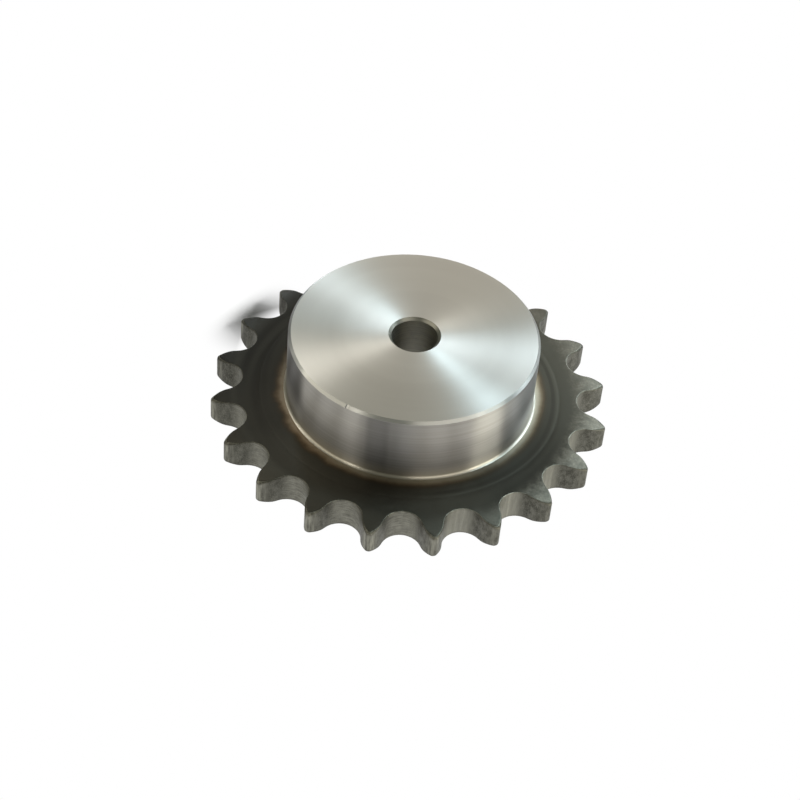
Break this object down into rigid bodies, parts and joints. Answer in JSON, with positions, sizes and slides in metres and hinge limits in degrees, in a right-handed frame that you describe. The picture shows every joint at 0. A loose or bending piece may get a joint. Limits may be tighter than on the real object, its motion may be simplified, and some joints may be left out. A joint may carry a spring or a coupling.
{
  "type": "chain sprocket",
  "caption": "Toothed steel wheel for a roller chain, with a plain round hub on one side and a pilot bore through its middle.",
  "frame": {"origin": "middle of the plate's back face, on the bore axis", "axes": "+Z along the bore axis, from the plate towards the hub's face; +X through the middle of one tooth"},
  "size_m": [0.1292, 0.1292, 0.0348],
  "materials": {
    "steel": "turned bright on the hub, dark heat-treated scale on the tooth plate"
  },
  "bodies": {
    "root": {"sprocket": "steel"}
  },
  "joints": []
}
